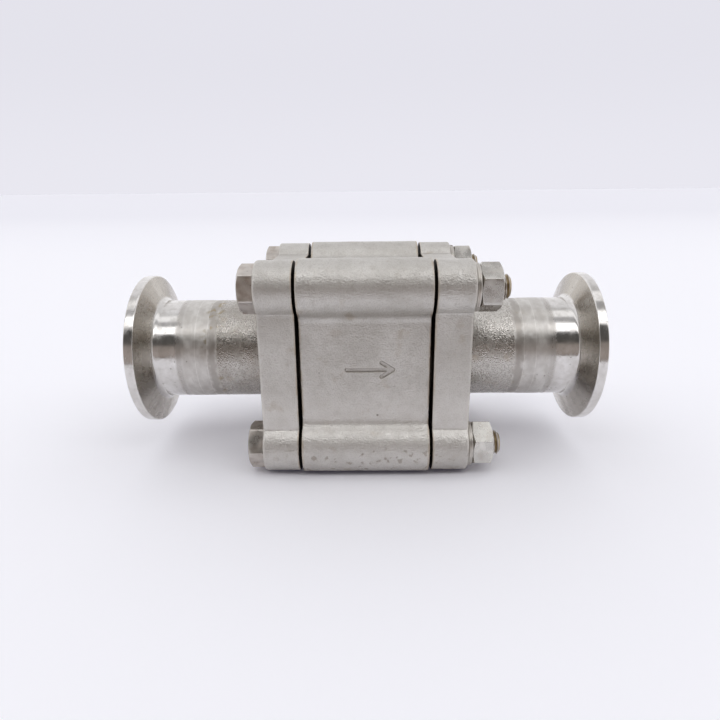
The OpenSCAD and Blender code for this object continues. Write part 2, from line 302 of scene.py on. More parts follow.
def dress(piece, material, nodes, body="valve_body", smooth=32):
    """Shades, paints and mounts a finished piece. Creases of over smooth degrees stay sharp."""
    piece.data.shade_smooth()
    piece.data.set_sharp_from_angle(angle=math.radians(smooth))
    mark_edges(piece)
    piece.data.materials.clear()
    piece.data.materials.append(material)
    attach(piece, body)
    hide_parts(*nodes)
    return piece


# ------------------------------------------------------------------ castings


def lobed_outline(side, lobe_r, blend, inset, flat_steps):
    """A lobed block's outline across the flow axis, pulled in by inset. It starts on the top side."""
    rise = side + blend - BOLT_OFFSET
    run = math.sqrt((lobe_r + blend) ** 2 - rise * rise)
    edge = BOLT_OFFSET - run
    turn = math.degrees(math.atan2(rise, run))
    blend_steps = max(4, round(blend * 2))
    outline = []
    for quarter in range(4):
        steps = flat_steps[quarter]
        flat = [(-edge + 2 * edge * k / steps, side - inset) for k in range(1, steps)]
        into = arc((edge, side + blend), blend + inset, -90, -turn, blend_steps)
        lobe = arc((BOLT_OFFSET, BOLT_OFFSET), lobe_r - inset, 180 - turn, turn - 90, 22)
        out = arc((side + blend, edge), blend + inset, 90 + turn, 180, blend_steps)
        a = -math.pi / 2 * quarter
        c, s = round(math.cos(a)), round(math.sin(a))
        outline += [(p * c - q * s, p * s + q * c) for p, q in flat + into + lobe[1:-1] + out]
    return outline


def lobed_block(name, x0, x1, side, lobe_r, blend, edges, xs, flat_steps):
    """A lobed block whose two ends are rounded by edges. xs are the rings between the roundings."""
    turn = [math.radians(15 * k) for k in range(7)]
    start = [(x0 + edges[0] * (1 - math.cos(a)), edges[0] * (1 - math.sin(a))) for a in turn]
    end = [(x1 - edges[1] * (1 - math.cos(a)), edges[1] * (1 - math.sin(a))) for a in reversed(turn)]
    rings = []
    for x, inset in start + [(x, 0) for x in xs] + end:
        rings.append([(x, y, z) for y, z in lobed_outline(side, lobe_r, blend, inset, flat_steps)])
    return skin(name, rings)


def roughen(piece, depth, size, seed):
    """Sinks the surface by up to depth in soft hollows about size wide, as a casting has."""
    offset = Vector((seed * 7.3, seed * 3.1, seed * 5.7))
    count = len(piece.data.vertices)
    places, normals = np.empty(3 * count), np.empty(3 * count)
    piece.data.vertices.foreach_get("co", places)
    piece.data.vertex_normals.foreach_get("vector", normals)
    places, normals = places.reshape(-1, 3), normals.reshape(-1, 3)
    normals[:, 0] = 0
    for here, out in zip(places, normals):
        hollow = 0.5 + 0.5 * noise.fractal(Vector(here) / MM / size + offset, 0.8, 2.0, 3)
        here -= out * depth * MM * min(1, max(0, hollow))
    piece.data.vertices.foreach_set("co", places.ravel())
    piece.data.update()


# The flow arrow on the front: where its middle is along X and Z, and the size of its strokes.
ARROW_AT = (1.5, 0.8)
ARROW_L = 15
ARROW_STROKE = 1.1
ARROW_BARB = 4.1
ARROW_BARB_TURN = math.radians(33)
ARROW_DEPTH = 0.52
ARROW_WALL = 0.26


def flow_arrow():
    """The flow arrow's three strokes, each from one end to the other, from the middle of the arrow."""
    tip = ARROW_L / 2 - ARROW_STROKE / 2
    back, out = ARROW_BARB * math.cos(ARROW_BARB_TURN), ARROW_BARB * math.sin(ARROW_BARB_TURN)
    shaft = ((-ARROW_L / 2 + 0.5, 0), (tip, 0))
    return [shaft, ((tip, 0), (tip - back, out)), ((tip, 0), (tip - back, -out))]


def stroke_distance(x, z, strokes):
    """Distance from a point to the nearest stroke."""
    nearest = 1e9
    for (x0, z0), (x1, z1) in strokes:
        run, rise = x1 - x0, z1 - z0
        share = ((x - x0) * run + (z - z0) * rise) / (run * run + rise * rise)
        share = min(1, max(0, share))
        nearest = min(nearest, math.hypot(x - x0 - share * run, z - z0 - share * rise))
    return nearest


def sink_arrow(piece):
    """Sinks the flow arrow into the -Y side, with soft walls, and stores where it is as "recess"."""
    strokes = flow_arrow()
    recess = piece.data.attributes.new("recess", "FLOAT", "POINT")
    for vertex in piece.data.vertices:
        x, y, z = vertex.co / MM
        x, z = x - ARROW_AT[0], z - ARROW_AT[1]
        if y > -BODY_SIDE + 1 or abs(x) > ARROW_L / 2 + 1 or abs(z) > 4:
            continue
        outside = stroke_distance(x, z, strokes) - ARROW_STROKE / 2
        inside = min(1, max(0, 0.5 - outside / ARROW_WALL))
        vertex.co.y += ARROW_DEPTH * MM * inside * inside * (3 - 2 * inside)
        recess.data[vertex.index].value = inside


def drill_bolt_holes(piece, x0, x1):
    """Cuts the four bolt holes out of piece, from x0 to x1."""
    for i in range(4):
        hole = lathe("hole", [(x0, 0), (x0, BOLT_HOLE), (x1, BOLT_HOLE), (x1, 0)], 48, False)
        combine(piece, at_bolt(hole, i, 0))


def stepped_bore(steps, over=1):
    """A lathe outline for a stepped bore, from (start, end, radius) for each step in turn."""
    outline = [(steps[0][0] - over, 0), (steps[0][0] - over, steps[0][2])]
    for (_, end, radius), (_, _, after) in zip(steps, steps[1:]):
        outline += [(end, radius), (end, after)]
    return outline + [(steps[-1][1] + over, steps[-1][2]), (steps[-1][1] + over, 0)]


def make_centre_body():
    """The centre body: a lobed block with the flow arrow, its stepped bore and the bolt holes."""
    fine, coarse, margin = 0.19, 1.2, 1.6
    arrow_half = ARROW_L / 2 + 0.8
    near = between(ARROW_AT[0] - arrow_half, ARROW_AT[0] + arrow_half, fine)
    before = between(-BODY_L + margin, near[0], coarse)[:-1]
    xs = before + near + between(near[-1], BODY_L - margin, coarse)[1:]
    piece = lobed_block(
        "centre_body_casting", -BODY_L, BODY_L, BODY_SIDE, BODY_REACH - BOLT_OFFSET, BODY_BLEND,
        (0.45, 0.45), xs, (20, 20, 20, 150),
    )
    roughen(piece, 0.10, 9, 1)
    sink_arrow(piece)
    seal_x, seal_r = box_mm("outlet_body_seal")[0].x, box_mm("outlet_body_seal")[1].y + 0.05
    seat_x, seat_r = rings_mm("seat_holder")
    seat_wall = 17
    seat_back = float(seat_x[seat_r > seat_wall].max())
    pocket = box_mm("seat_holder")[1].y + 0.05
    chamber = pocket - 1
    guide_x = 10.5
    ring_low, ring_high = box_mm("snap_ring")[0].x - 0.05, box_mm("snap_ring")[1].x + 0.1
    ring_r = 18.9
    steps = [
        (-BODY_L, -seal_x, seal_r), (-seal_x, seat_back, pocket), (seat_back, guide_x, chamber),
        (guide_x, ring_low, pocket), (ring_low, ring_high, ring_r), (ring_high, seal_x, pocket),
        (seal_x, BODY_L, seal_r),
    ]
    combine(piece, lathe("bore", stepped_bore(steps), 128, False))
    drill_bolt_holes(piece, -BODY_L - 1, BODY_L + 1)
    return piece


def make_cap(name, seed):
    """A cap on the +X side: a lobed plate, a nose that enters the body and a rough weld stub."""
    piece = lobed_block(
        name, CAP_IN, CAP_OUT, CAP_SIDE, CAP_REACH - BOLT_OFFSET, CAP_BLEND,
        (0.35, 0.9), between(CAP_IN + 1.2, CAP_OUT - 1.2, 0.9), (36, 36, 36, 36),
    )
    roughen(piece, 0.12, 8, seed)
    spigot_x, spigot_r = BODY_L, 24.5
    nose_r = box_mm("seat_holder")[1].y
    foot = rounded(
        [(CAP_IN + 3, 0, 0), (CAP_OUT - 1, TUBE_R + 2, 0), (CAP_OUT, TUBE_R + 2, 0),
         (CAP_OUT, TUBE_R, 1.6), (CAST_END, TUBE_R, 0)], steps=6,
    )[3:]
    stub = [(x, TUBE_R) for x in between(CAP_OUT + 2, CAST_END - 0.4, 0.42)]
    tail = [(CAST_END, TUBE_R - 0.02), (CAST_END + 0.35, TUBE_R - 0.1), (CAST_END + 1.2, GROUND_R)]
    outline = [
        (CAP_NOSE, 0), (CAP_NOSE, nose_r - 0.4), (CAP_NOSE + 0.4, nose_r), (spigot_x, nose_r),
        (spigot_x, spigot_r - 0.3), (spigot_x + 0.3, spigot_r), (CAP_IN + 2, spigot_r),
        (CAP_IN + 2, TUBE_R + 2), (CAP_OUT - 1, TUBE_R + 2),
    ] + foot[1:-1] + stub + tail + [
        (WELD_LOW, GROUND_R), (WELD_X - 0.5, FERRULE_BORE), (WELD_X - 0.5, 0),
    ]

    def cast_skin(x, a, r):
        """Soft unevenness of the rough stub, always inwards."""
        if not CAP_OUT - 0.5 < x < CAST_END or r > TUBE_R + 1.9:
            return 0
        here = Vector((x, r * math.cos(a), r * math.sin(a)))
        coarse = noise.noise(here / 2.4 + Vector((seed, 0, 0)))
        broad = noise.noise(here / 6 + Vector((0, seed, 0)))
        return -0.07 + 0.02 * coarse + 0.04 * (broad - 0.5)

    combine(piece, lathe("stub", outline, 176, False, cast_skin), "UNION")
    bore = [
        (CAP_NOSE - 1, 0), (CAP_NOSE - 1, CAP_BORE + 0.4), (CAP_NOSE + 0.4, CAP_BORE),
        (WELD_X - 3, CAP_BORE), (WELD_X, FERRULE_BORE + 0.2), (WELD_X, 0),
    ]
    combine(piece, lathe("bore", bore, 128, False))
    drill_bolt_holes(piece, CAP_IN - 1, CAP_OUT + 1)
    return piece


# ------------------------------------------------------------------ ferrules and welds


def make_ferrule(name, seed):
    """A clamp ferrule on the +X side, with a shallow seam where the polish meets the weld."""
    slope = math.tan(math.radians(20))
    bevel_x = RIM_X - (RIM_R - TUBE_R) * slope
    groove_r, groove_half, floor_half, groove_depth = 21.75, 1.5, 0.9, 0.75
    corners = [
        (WELD_X + 0.5, FERRULE_BORE, 0), (WELD_HIGH, TUBE_R, 0), (SEAM_X - 1.1, TUBE_R, 0),
        (SEAM_X, TUBE_R - 0.09, 0.6), (SEAM_X + 1.1, TUBE_R, 0), (bevel_x, TUBE_R, 1.6),
        (RIM_X, RIM_R, 0.35), (END_X, RIM_R, 0.4), (END_X, groove_r + groove_half, 0.15),
        (END_X - groove_depth, groove_r + floor_half, 0.5),
        (END_X - groove_depth, groove_r - floor_half, 0.5),
        (END_X, groove_r - groove_half, 0.15), (END_X, FERRULE_BORE, 0.4),
    ]
    outline = rounded(corners, steps=7, support=0.25)
    true_from = bevel_x - 2.2

    def waver(x, a, r):
        """Slight unevenness of the hand-ground tube, which runs out before the rim's slope."""
        if x > true_from or r < TUBE_R - 0.3:
            return 0
        here = Vector((x * 0.35, math.cos(a) * 2.2, math.sin(a) * 2.2 + seed))
        return -0.02 * min(1, (true_from - x) / 2.5) * (0.5 + 0.5 * noise.noise(here))

    return lathe(name, outline, 192, True, waver)


def make_weld(name, seed):
    """The butt weld between stub and ferrule, ground nearly flush."""
    crown = float(rings_mm("outlet_weld_bead")[1].max()) - TUBE_R
    outline = [(WELD_X - 0.5, FERRULE_BORE), (WELD_LOW, GROUND_R), (WELD_LOW + 0.35, GROUND_R + 0.01)]
    for x in between(WELD_LOW + 0.7, WELD_HIGH - 0.5, 0.28):
        t = (x - WELD_LOW) / (WELD_HIGH - WELD_LOW)
        outline.append((x, GROUND_R + 0.1 * t + 0.6 * crown * math.sin(math.pi * t) ** 2))
    outline += [(WELD_HIGH, TUBE_R), (WELD_X + 0.5, FERRULE_BORE)]

    def ripple(x, a, r):
        """What grinding left of the bead's ripples."""
        if r < TUBE_R - 0.1 or not WELD_LOW + 0.4 < x < WELD_HIGH - 0.3:
            return 0
        along = math.sin(78 * a + 2.2 * abs(x - WELD_X) + 1.5 * noise.noise(Vector((a * 3, seed, x))))
        broad = noise.noise(Vector((x, 9 * math.cos(a), 9 * math.sin(a) + seed)))
        return -0.03 + 0.012 * along + 0.02 * broad

    return lathe(name, outline, 224, True, ripple)


# ------------------------------------------------------------------ fasteners


def hex_radii(across, corner_r=0.4, side_steps=12):
    """(angle, radius) of a hexagon's outline with rounded corners; the first flat faces +Y."""
    half = across / 2
    corner_turn = [math.radians(-30 + 10 * k) for k in range(7)]
    centre = (half - corner_r) / math.cos(math.radians(30))
    outline = []
    for side in range(6):
        base = math.radians(60 * side)
        reach = (half - corner_r) * math.tan(math.radians(30))
        for k in range(1, side_steps):
            t = -reach + 2 * reach * k / side_steps
            outline.append((base + math.atan2(t, half), math.hypot(t, half)))
        middle = base + math.radians(30)
        for turn in corner_turn:
            p = centre + corner_r * math.cos(turn)
            q = corner_r * math.sin(turn)
            outline.append((middle + math.atan2(q, p), math.hypot(p, q)))
    return outline


def hex_rings(columns, face_x, base_x, across):
    """Rings from a chamfered end face at face_x down the flats to just above base_x."""
    inward = 1 if base_x > face_x else -1
    edge = across / 2 - 0.2
    slope = math.tan(math.radians(30))
    rings = []
    for share, lift in ((0, 0.0), (0.03, 0.012), (0.12, 0.07)):
        rings.append([(face_x + inward * lift, edge - 0.12 + share, a) for a, _ in columns])
    for back, down in ((0.12, 0.0), (0.02, 0.02), (0.0, 0.14), (0.0, 0.4)):
        ring = []
        for a, r in columns:
            drop = max(0.08, (r - edge) * slope)
            inner = max(edge + 0.02, r - back)
            ring.append((face_x + inward * (drop - back * slope * 0.8 + down), inner, a))
        rings.append(ring)
    return rings


def polar(ring):
    """Points on the flow axis's cylinder, from (x, r, angle)."""
    return [(x, r * math.cos(a), r * math.sin(a)) for x, r, a in ring]


def make_bolt(i):
    """A hex bolt along the flow axis, with a rolled thread on its visible end."""
    columns = hex_radii(FLATS)
    low = -CAP_OUT
    thread_from, pitch, depth = NUT_LOW - 2, 1.25, 0.7
    rings = [[(HEAD_END, 0, 0)], [(HEAD_END, 3, a) for a, _ in columns]]
    rings += hex_rings(columns, HEAD_END, low, FLATS)
    rings.append([(low - 0.35, r, a) for a, r in columns])
    rings.append([(low - 0.1, r - 0.03, a) for a, r in columns])
    rings.append([(low, min(r - 0.12, 6.4), a) for a, r in columns])
    rings.append([(low, BOLT_R + 0.1, a) for a, _ in columns])
    rings.append([(low + 0.1, BOLT_R, a) for a, _ in columns])
    rings.append([(thread_from - 0.4, BOLT_R, a) for a, _ in columns])
    for x in between(thread_from, BOLT_END, pitch / 12):
        ring = []
        for a, _ in columns:
            phase = ((x - thread_from) / pitch - a / math.tau + 0.13 * i) % 1
            tooth = max(0, 2.6 * abs(phase - 0.5) - 0.13)
            start = min(1, max(0, (x - thread_from) / pitch))
            chamfer = 1.05 * (BOLT_END - x)
            r = BOLT_R - depth * start * (1 - min(1, tooth))
            ring.append((x, min(r, BOLT_R - 0.95 + max(0, chamfer)), a))
        rings.append(ring)
    rings.append([(BOLT_END, BOLT_R - 1.1, a) for a, _ in columns])
    made = [polar(ring) for ring in rings] + [[(BOLT_END, 0, 0)]]
    return at_bolt(skin("bolt", made), i, HEAD_TURN[i])


def make_nut(i):
    """A hex nut on the flow axis, chamfered on both faces, with a countersunk bore."""
    columns = hex_radii(FLATS)
    bore = 4.05
    first = hex_rings(columns, NUT_LOW, NUT_HIGH, FLATS)
    last = hex_rings(columns, NUT_HIGH, NUT_LOW, FLATS)
    mouth = [(0.0, 4.75), (0.05, 4.6), (0.5, bore + 0.05), (0.7, bore)]
    rings = [[(NUT_LOW + x, r, a) for a, _ in columns] for x, r in reversed(mouth)]
    rings += first + list(reversed(last))
    rings += [[(NUT_HIGH - x, r, a) for a, _ in columns] for x, r in mouth]
    return at_bolt(skin("nut", [polar(ring) for ring in rings], loop=True), i, NUT_TURN[i])


def make_washer(i):
    """A split lock washer: a square coil of one turn with a slanted slit."""
    inner, outer = 4.15, 7.2
    low, high = CAP_OUT, NUT_LOW
    slit, middle_r, slant_turn = 1.1, 5.7, 14
    gap = math.degrees(slit / middle_r)
    section = rounded(
        [(low, inner, 0.2), (high, inner, 0.2), (high, outer, 0.5), (low, outer, 0.5)], steps=4,
    )
    rings = []
    for turn in between(gap / 2, 360 - gap / 2, 4):
        ring = []
        for x, r in section:
            slant = slant_turn * (x - low) / (high - low) - slant_turn / 2
            a = math.radians(turn + slant)
            ring.append((x, r * math.cos(a), r * math.sin(a)))
        rings.append(ring)
    return at_bolt(skin("washer", rings), i, WASHER_TURN[i])


# ------------------------------------------------------------------ spring


def make_spring():
    """A compression spring with a closed turn at each end."""
    low, high = (corner.x for corner in box_mm("closing_spring"))
    wire, turns, sides, per_turn = 0.6, 5, 14, 40
    coil = float(rings_mm("closing_spring")[1].max()) - wire
    span = high - low - 2 * wire
    first = 2 * wire + 0.05
    pitch = (span - 2 * first) / (turns - 2)

    def height(t):
        """How far along the spring the wire is after t turns."""
        if t < 1:
            return t * first
        if t > turns - 1:
            return span - (turns - t) * first
        return first + (t - 1) * pitch

    rings = []
    for k in range(turns * per_turn + 1):
        t = k / per_turn
        a = math.tau * t
        ring = []
        for j in range(sides):
            b = math.tau * j / sides
            x = low + wire + height(t) + wire * math.sin(b)
            out = coil + wire * math.cos(b)
            ring.append((x, out * math.cos(a), out * math.sin(a)))
        rings.append(ring)
    return skin("closing_spring_coil", rings)


# ------------------------------------------------------------------ node trees


class Graph:
    """A node tree, written one node at a time. Numbers, colours and sockets all go in as inputs."""

    def __init__(self, tree, coordinate="Object"):
        self.tree = tree
        tree.nodes.clear()
        self.place = self.add("ShaderNodeTexCoord").outputs[coordinate]

    def add(self, kind, inputs=None, **settings):
        node = self.tree.nodes.new(kind)
        for key, value in settings.items():
            setattr(node, key, value)
        for key, value in (inputs or {}).items():
            self.put(value, node.inputs[key])
        return node

    def put(self, value, socket):
        if isinstance(value, bpy.types.NodeSocket):
            self.tree.links.new(value, socket)
        elif isinstance(value, tuple) and len(value) == 3 and socket.type == "RGBA":
            socket.default_value = (*value, 1)
        else:
            socket.default_value = value

    def math(self, operation, *values):
        node = self.add("ShaderNodeMath", dict(enumerate(values)), operation=operation)
        return node.outputs[0]

    def times(self, a, b):
        return self.math("MULTIPLY", a, b)

    def plus(self, a, b):
        return self.math("ADD", a, b)

    def minus(self, a, b):
        return self.math("SUBTRACT", a, b)

    def reach(self, a, b):
        """Length of the vector (a, b)."""
        return self.math("SQRT", self.plus(self.times(a, a), self.times(b, b)))

    def blend(self, share, a, b):
        """Value a where share is 0, value b where it is 1."""
        return self.plus(self.times(a, self.minus(1.0, share)), self.times(b, share))

    def axes(self):
        """The X, Y and Z of the place."""
        return self.add("ShaderNodeSeparateXYZ", {0: self.place}).outputs

    def scaled(self, size, stretch=(1, 1, 1), seed=0.0):
        """Coordinates in which one unit is size millimetres, divided by the stretch along each axis."""
        factor = tuple(s / (size * MM) for s in stretch)
        big = self.add("ShaderNodeVectorMath", {0: self.place, 1: factor}, operation="MULTIPLY")
        return self.add(
            "ShaderNodeVectorMath", {0: big.outputs[0], 1: (seed * 3.7, seed * 1.9, seed * 5.3)},
            operation="ADD",
        ).outputs[0]

    def noise(self, size, detail=2.0, stretch=(1, 1, 1), seed=0.0, rough=0.5):
        """Noise with features about size millimetres wide."""
        inputs = {"Vector": self.scaled(size, stretch, seed), "Scale": 1.0}
        inputs.update({"Detail": detail, "Roughness": rough})
        return self.add("ShaderNodeTexNoise", inputs).outputs[0]

    def spots(self, size, radius, share, seed=0.0):
        """Round soft spots in that share of cells size millimetres wide. radius is in cells."""
        node = self.add("ShaderNodeTexVoronoi", {"Vector": self.scaled(size, seed=seed), "Scale": 1.0})
        near = self.fade(node.outputs["Distance"], radius, radius * 0.4)
        pick = self.add("ShaderNodeSeparateColor", {0: node.outputs["Color"]}).outputs[0]
        return self.times(near, self.math("LESS_THAN", pick, share))

    def fade(self, value, low, high, start=0.0, end=1.0):
        """A smooth step from start to end as value goes from low to high."""
        if low > high:
            low, high, start, end = high, low, end, start
        inputs = {0: value, 1: low, 2: high, 3: start, 4: end}
        return self.add("ShaderNodeMapRange", inputs, interpolation_type="SMOOTHSTEP").outputs[0]

    def fade_mm(self, value, low, high, start=0.0, end=1.0):
        """A fade with low and high in millimetres."""
        return self.fade(value, low * MM, high * MM, start, end)

    def window(self, value, rise, fall):
        """1 between two soft edges, in millimetres: it comes up over rise and goes down over fall."""
        return self.times(self.fade_mm(value, *rise), self.fade_mm(value, fall[1], fall[0]))

    def mix(self, factor, a, b):
        """Colour a where factor is 0, colour b where it is 1."""
        return self.add("ShaderNodeMix", {0: factor, 6: a, 7: b}, data_type="RGBA").outputs[2]

    def tint(self, tone, mask, amount, colour):
        """The tone with that amount of colour on it where mask is 1."""
        return self.mix(self.times(mask, amount), tone, colour)

    def bump(self, height, depth):
        """A normal for a surface that stands depth millimetres out where height is 1."""
        inputs = {"Strength": 1.0, "Distance": depth * MM, "Height": height}
        return self.add("ShaderNodeBump", inputs).outputs[0]

    def attribute(self, name):
        return self.add("ShaderNodeAttribute", attribute_name=name).outputs["Fac"]

    def surface(self, inputs):
        shader = self.add("ShaderNodeBsdfPrincipled", inputs)
        out = self.add("ShaderNodeOutputMaterial")
        self.tree.links.new(shader.outputs[0], out.inputs["Surface"])

    def metal(self, tone, rough, normal):
        self.surface({"Base Color": tone, "Metallic": 1.0, "Roughness": rough, "Normal": normal})


def material(name):
    """A new material and its graph."""
    made = bpy.data.materials.new(name)
    made.use_nodes = True
    return made, Graph(made.node_tree)


# ------------------------------------------------------------------ materials

# Linear colours of the steel, clean and worn, of what lies on it, and of the light and shade painted on it.
CAST_DARK = (0.530, 0.508, 0.475)
CAST_LIGHT = (0.620, 0.600, 0.568)
# The next colour is a painted light for the lower half of the sides.
PAINTED_LOW_LIGHT = (0.80, 0.775, 0.74)
CAST_WORN = (0.74, 0.705, 0.64)
GRAIN_SHADE = (0.36, 0.335, 0.30)
STUB_SPECKLE = (0.22, 0.20, 0.175)
DULL_PATCH = (0.47, 0.445, 0.41)
DING_BROWN = (0.31, 0.26, 0.21)
OLD_STAIN = (0.40, 0.335, 0.26)
# The next colour is painted shade where the valve rests on the table.
CONTACT_SHADE = (0.10, 0.09, 0.085)
CAST_PIT = (0.16, 0.13, 0.10)
# The next colour is painted shade on the faces inside the gap.
GAP_SHADE = (0.045, 0.033, 0.022)
OIL_FILM = (0.47, 0.385, 0.28)
RECESS_SHADE = (0.25, 0.22, 0.19)
BRUSHED_DARK = (0.50, 0.475, 0.445)
BRUSHED_LIGHT = (0.66, 0.64, 0.61)
BRUSH_LINE = (0.44, 0.41, 0.38)
STEP_SHADE = (0.31, 0.28, 0.25)
HEAT_SPECK = (0.33, 0.275, 0.185)
POLISHED_DARK = (0.62, 0.60, 0.575)
POLISHED_LIGHT = (0.72, 0.70, 0.68)
POLISHED_WORN = (0.80, 0.78, 0.75)
POLISHED_PIT = (0.10, 0.08, 0.06)
SEAM_SHADE = (0.38, 0.355, 0.325)
# The next two colours are a painted sheen on the rim's slope.
BEVEL_SHEEN_DARK = (0.38, 0.345, 0.295)
BEVEL_SHEEN_LIGHT = (0.64, 0.605, 0.55)
FASTENER_WORN = (0.74, 0.72, 0.68)
UPPER_FASTENER_TONE = (0.30, 0.28, 0.26)
THREAD_DIRT = (0.36, 0.28, 0.16)
SHANK_SHADE = (0.06, 0.045, 0.03)


def brushed(g, seed):
    """Ground and brushed steel, as colour and roughness."""
    smear = g.noise(3.2, 4, stretch=(1, 0.7, 0.7), seed=seed)
    fine = g.noise(0.8, 3, stretch=(1, 0.25, 0.25), seed=seed + 1)
    tone = g.mix(g.fade(smear, 0.3, 0.7), BRUSHED_DARK, BRUSHED_LIGHT)
    tone = g.mix(g.fade(fine, 0.55, 0.8, 0.0, 0.4), tone, BRUSH_LINE)
    return tone, g.fade(smear, 0.3, 0.7, 0.34, 0.46)


def stained(g, tone, seed, heat):
    """The dark step and the golden-brown specks where the rough stub meets the ground steel."""
    along = g.math("ABSOLUTE", g.axes()[0])
    away = g.math("ABSOLUTE", g.minus(along, (CAST_END + 1.7) * MM))
    waver = g.fade(g.noise(2.4, 3, seed=seed), 0.3, 0.7, -0.6, 0.6)
    ragged = g.plus(away, g.times(waver, MM))
    tone = g.mix(g.fade_mm(ragged, 2.1, 0.5, 0.0, 0.62), tone, STEP_SHADE)
    small = g.fade(g.noise(2.1, 3, seed=seed + 1), 0.5, 0.66)
    grouped = g.fade(g.noise(7, 1, seed=seed + 2), 0.45, 0.6)
    specks = g.times(g.times(small, grouped), g.fade_mm(away, 4.5, 1.5, 0.0, heat))
    return g.mix(specks, tone, HEAT_SPECK)


def gap_shade_and_oil_film(g, tone, along, seed):
    """Dark painted shade on the faces inside the gap beside the body, and a patchy brown oil film at its
    edges.
    """
    gap = g.window(along, (BODY_L - 0.12, BODY_L - 0.01), (CAP_IN + 0.01, CAP_IN + 0.10))
    # Painted shade on the faces inside the gap.
    tone = g.tint(tone, gap, 0.93, GAP_SHADE)
    film = g.window(along, (BODY_L - 0.9, BODY_L - 0.3), (CAP_IN + 0.2, CAP_IN + 0.7))
    film = g.times(film, g.fade(g.noise(4, 3, seed=seed), 0.35, 0.6, 0.1, 0.65))
    return g.tint(tone, film, g.minus(1.0, gap), OIL_FILM)


def cast_steel(name, seed, heat, dings, stub_tone):
    """Bead-blasted cast stainless: sandy grain, faint stains, pits, pale corners, an oil film by the gap,
    painted shade in the gap and at the foot, and painted light low on the sides.
    """
    made, g = material(name)
    x, _, z = g.axes()
    along = g.math("ABSOLUTE", x)
    stub = g.fade_mm(along, CAP_OUT + 0.6, CAP_OUT + 2.2)
    ground = g.fade_mm(along, CAST_END - 0.2, CAST_END + 0.7)
    mottle = g.noise(2.6, 4, seed=seed + 1)
    grain = g.noise(0.42, 1, seed=seed + 2)
    tone = g.mix(g.fade(g.noise(16, 3, seed=seed), 0.3, 0.7), CAST_DARK, CAST_LIGHT)
    tone = g.tint(tone, g.fade(mottle, 0.45, 0.75), 0.3, DULL_PATCH)
    tone = g.mix(g.fade(grain, 0.34, 0.52, 0.26, 0.0), tone, GRAIN_SHADE)

    # The lower half of the side is painted lighter, down to the lower lobes: a painted light, as from the
    # bright table below.
    lower_half = g.fade_mm(z, -2, -13)
    over_lobe = g.fade_mm(z, 4.5 - BOLT_OFFSET, 1 - BOLT_OFFSET, 1.0, 0.3)
    tone = g.tint(tone, g.times(lower_half, over_lobe), 0.40, PAINTED_LOW_LIGHT)

    patches = g.fade(g.noise(5, 4, seed=seed + 9), 0.35, 0.65, 0.45, 0.85)
    tone = g.tint(tone, stub, patches, stub_tone)
    tone = g.tint(tone, stub, g.fade(grain, 0.32, 0.58, 0.5, 0.0), STUB_SPECKLE)
    on_lobe = g.fade_mm(z, 1.0 - BOLT_OFFSET, 3.2 - BOLT_OFFSET, dings, dings * 0.12)
    ding = g.times(g.fade(g.noise(2.5, 3, seed=seed + 12), 0.59, 0.66), on_lobe)
    tone = g.tint(tone, ding, 0.6, DING_BROWN)
    # Painted shade along the bottom of the lobes, where the valve rests on the table.
    tone = g.mix(g.fade_mm(z, 1.7 - BODY_REACH, 0.8 - BODY_REACH), tone, CONTACT_SHADE)
    tone = g.tint(tone, g.fade(g.noise(6, 4, seed=seed + 4), 0.6, 0.78), 0.55, OLD_STAIN)
    pits = g.spots(4.4, 0.11, 0.08, seed + 5)
    tone = g.tint(tone, pits, 0.6, CAST_PIT)
    worn = g.times(g.attribute("wear"), g.fade(mottle, 0.2, 0.6, 0.5, 1.0))
    tone = g.tint(tone, g.fade(worn, 0.25, 0.9), 0.3, CAST_WORN)

    ground_tone, ground_rough = brushed(g, seed + 8)
    tone = g.mix(ground, tone, ground_tone)
    tone = stained(g, tone, seed + 6, heat)
    tone = gap_shade_and_oil_film(g, tone, along, seed + 10)
    recess = g.attribute("recess")
    wall = g.times(recess, g.minus(1.10, recess))
    tone = g.tint(tone, wall, 1.8, RECESS_SHADE)

    rough = g.minus(g.fade(mottle, 0.3, 0.7, 0.40, 0.51), g.times(stub, 0.19))
    rough = g.blend(ground, rough, ground_rough)
    sand = g.times(g.noise(0.9, 2, seed=seed + 3), g.fade(stub, 0.0, 1.0, 0.45, 0.2))
    coarse = g.times(g.noise(0.52, 1, seed=seed + 7), g.fade(stub, 0.0, 1.0, 0.65, 0.5))
    height = g.plus(g.plus(g.times(grain, 0.75), sand), coarse)
    height = g.times(height, g.fade(ground, 0.0, 1.0, 1.0, 0.05))
    height = g.minus(height, g.times(g.plus(pits, ding), 0.8))
    g.metal(tone, rough, g.bump(height, 0.17))
    return made


